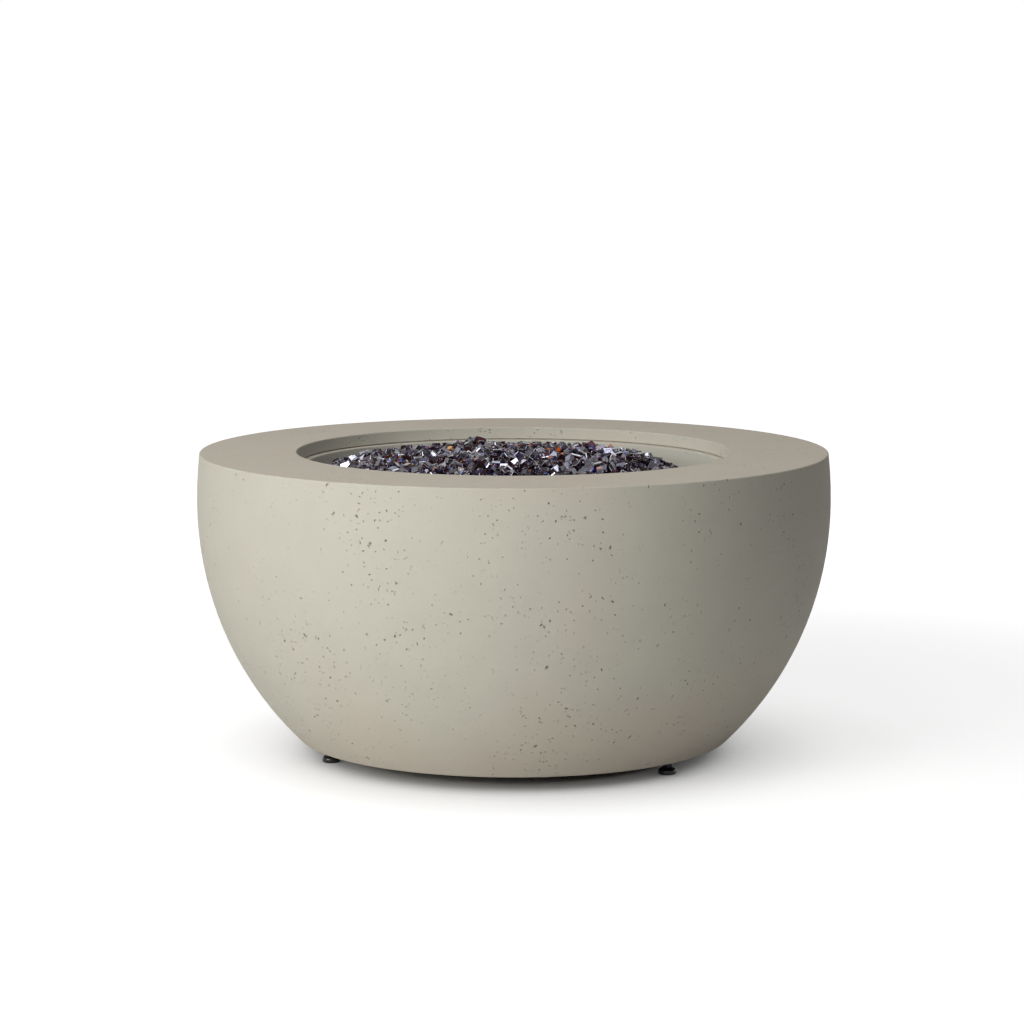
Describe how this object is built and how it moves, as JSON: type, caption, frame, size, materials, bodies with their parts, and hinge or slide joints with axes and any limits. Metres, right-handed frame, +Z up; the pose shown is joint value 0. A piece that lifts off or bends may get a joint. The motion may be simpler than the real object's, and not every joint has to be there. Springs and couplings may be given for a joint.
{
  "type": "gas fire pit",
  "caption": "Round floor-standing concrete gas fire bowl with a recessed burner well of fire glass, a control knob, a push-button igniter and screw levelling feet.",
  "frame": {"origin": "on the bowl's axis at floor level, under the levelling feet", "axes": "+Z up along the bowl's axis, -Y towards the front, +Y towards the controls on the rear wall"},
  "size_m": [0.9225, 0.9226, 0.451],
  "materials": {
    "concrete": "matte cast fibre-reinforced concrete",
    "well_concrete": "matte cast fibre-reinforced concrete",
    "bond": "cured adhesive",
    "stainless": "brushed stainless sheet",
    "burner_steel": "drawn stainless tube, heat tinted",
    "galvanised": "zinc plated steel",
    "brass": "machined brass",
    "lava_rock": "porous lava rock",
    "fire_glass": "tumbled reflective bronze fire glass",
    "white_ceramic": "sintered alumina",
    "hose": "corrugated stainless flexible hose",
    "copper_lead": "copper capillary",
    "red_wire": "silicone insulated high-tension wire",
    "black_moulding": "glossy moulded nylon",
    "knob_black": "moulded phenolic, satin",
    "chrome_trim": "polished plated steel",
    "fibre": "vulcanised fibre",
    "cell_jacket": "plain cell jacket"
  },
  "bodies": {
    "bowl": {"outer_shell": "concrete", "fire_well": "well_concrete", "well_bond": "bond", "burner_pan": "stainless", "burner": "burner_steel", "burner_supports": "burner_steel", "burner_nipple": "galvanised", "nipple_locknuts": "galvanised", "lava_rock_bed": "lava_rock", "fire_glass_bed": "fire_glass", "sensor_bracket": "stainless", "sensor_screws": "galvanised", "electrode_insulator": "white_ceramic", "electrode_rod": "burner_steel", "thermocouple_probe": "burner_steel", "heat_shield": "galvanised", "shield_posts": "galvanised", "shield_screws": "galvanised", "nipple_elbow": "galvanised", "air_mixer": "brass", "gas_orifice": "brass", "hose_nuts": "brass", "burner_hose": "hose", "valve_body": "brass", "valve_washer": "fibre", "knob_bezel": "chrome_trim", "valve_locknut": "brass", "igniter_body": "black_moulding", "igniter_nut": "black_moulding", "igniter_cell": "cell_jacket", "ignition_wire": "red_wire", "thermocouple_lead": "copper_lead", "inlet_bracket": "galvanised", "bracket_bolts": "galvanised", "inlet_fitting": "brass", "inlet_locknut": "brass", "pipe_nuts": "brass", "inlet_pipe": "copper_lead", "foot_inserts": "galvanised"},
    "air_shutter": {"air_shutter": "stainless"},
    "valve_plug": {"valve_plug": "brass"},
    "knob": {"valve_stem": "burner_steel", "control_knob": "knob_black"},
    "igniter_button": {"igniter_button": "chrome_trim"},
    "foot_1": {"foot_pad_1": "black_moulding"},
    "stud_1": {"foot_stud_1": "galvanised"},
    "foot_2": {"foot_pad_2": "black_moulding"},
    "stud_2": {"foot_stud_2": "galvanised"},
    "foot_3": {"foot_pad_3": "black_moulding"},
    "stud_3": {"foot_stud_3": "galvanised"}
  },
  "joints": [
    {"name": "air_shutter_turn", "type": "hinge", "parent": "bowl", "child": "air_shutter", "pos_m": [0, 0.062, 0.262], "axis": [0, 1, 0], "range_deg": [0, 60]},
    {"name": "knob_turn", "type": "hinge", "parent": "bowl", "child": "valve_plug", "pos_m": [0, 0.40548, 0.144], "axis": [0, -0.8846, 0.4664], "range_deg": [-210, 0]},
    {"name": "knob_push", "type": "slide", "parent": "valve_plug", "child": "knob", "axis": [0, -0.8846, 0.4664], "range_m": [0, 0.004], "stiffness_N_per_m": 800, "springref_m": -0.004},
    {"name": "igniter_push", "type": "slide", "parent": "bowl", "child": "igniter_button", "axis": [0.2586, -0.8459, 0.4664], "range_m": [0, 0.003], "stiffness_N_per_m": 600, "springref_m": -0.003},
    {"name": "foot_1_level", "type": "slide", "parent": "bowl", "child": "foot_1", "axis": [0, 0, -1], "range_m": [-0.0075, 0.01125]},
    {"name": "stud_1_turn", "type": "hinge", "parent": "foot_1", "child": "stud_1", "pos_m": [0.2176, -0.17937, 0.009], "axis": [0, 0, -1], "range_deg": [-2162, 3243]},
    {"name": "foot_2_level", "type": "slide", "parent": "bowl", "child": "foot_2", "axis": [0, 0, -1], "range_m": [-0.0075, 0.01125]},
    {"name": "stud_2_turn", "type": "hinge", "parent": "foot_2", "child": "stud_2", "pos_m": [-0.26414, -0.09876, 0.009], "axis": [0, 0, -1], "range_deg": [-2162, 3243]},
    {"name": "foot_3_level", "type": "slide", "parent": "bowl", "child": "foot_3", "axis": [0, 0, -1], "range_m": [-0.0075, 0.01125]},
    {"name": "stud_3_turn", "type": "hinge", "parent": "foot_3", "child": "stud_3", "pos_m": [0.04654, 0.27813, 0.009], "axis": [0, 0, -1], "range_deg": [-2162, 3243]}
  ],
  "couplings": [
    {"joint": "stud_1_turn", "follows": "foot_1_level", "rad_per_m": 5026.5},
    {"joint": "stud_2_turn", "follows": "foot_2_level", "rad_per_m": 5026.5},
    {"joint": "stud_3_turn", "follows": "foot_3_level", "rad_per_m": 5026.5}
  ]
}
